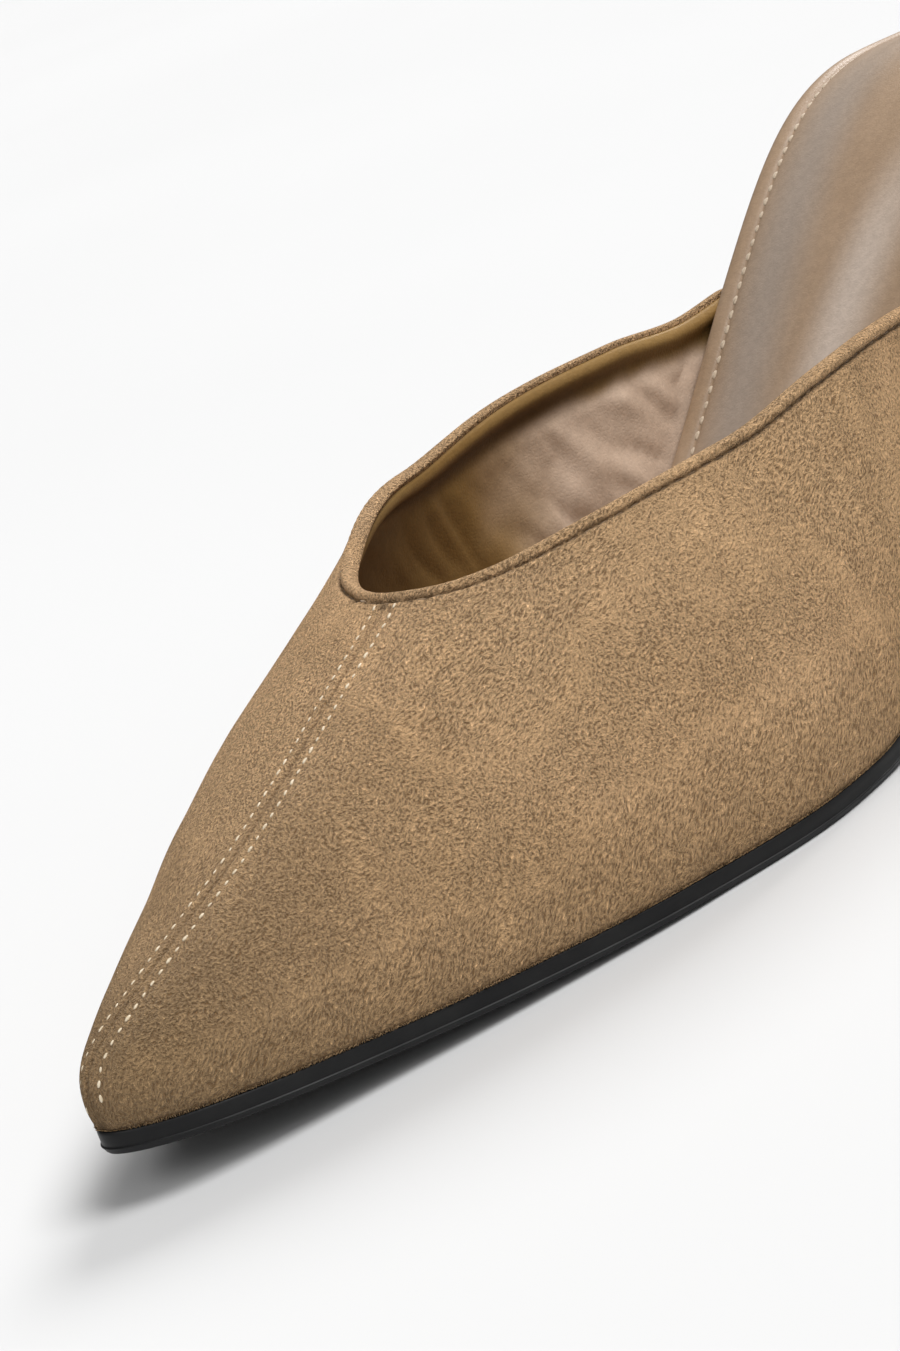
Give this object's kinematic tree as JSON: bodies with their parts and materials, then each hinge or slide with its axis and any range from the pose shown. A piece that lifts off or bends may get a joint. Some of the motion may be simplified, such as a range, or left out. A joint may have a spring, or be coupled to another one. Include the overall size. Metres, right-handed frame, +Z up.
{
  "type": "pointed mule pump shoe",
  "caption": "Backless pointed pump for the right foot: suede upper closed by a seam down the vamp, thin black sole, padded insole and a slim covered heel.",
  "frame": {"origin": "middle of the heel tip's lower face, on the floor", "axes": "+X along the shoe towards the toe, +Y to the inner (medial) side, +Z up"},
  "size_m": [0.2596, 0.0766, 0.0716],
  "materials": {
    "suede": "camel faux suede with a short brushed nap",
    "sole_rubber": "matte black",
    "sock_leather": "taupe, smooth, semi-gloss",
    "tip_rubber": "matte black",
    "lining": "brown lining with a dull sheen, on the upper's inner face",
    "thread": "cream stitching"
  },
  "bodies": {
    "root": {"upper": "suede", "outsole": "sole_rubber", "insole": "sock_leather", "heel": "suede", "heel_tip": "tip_rubber"}
  },
  "joints": []
}
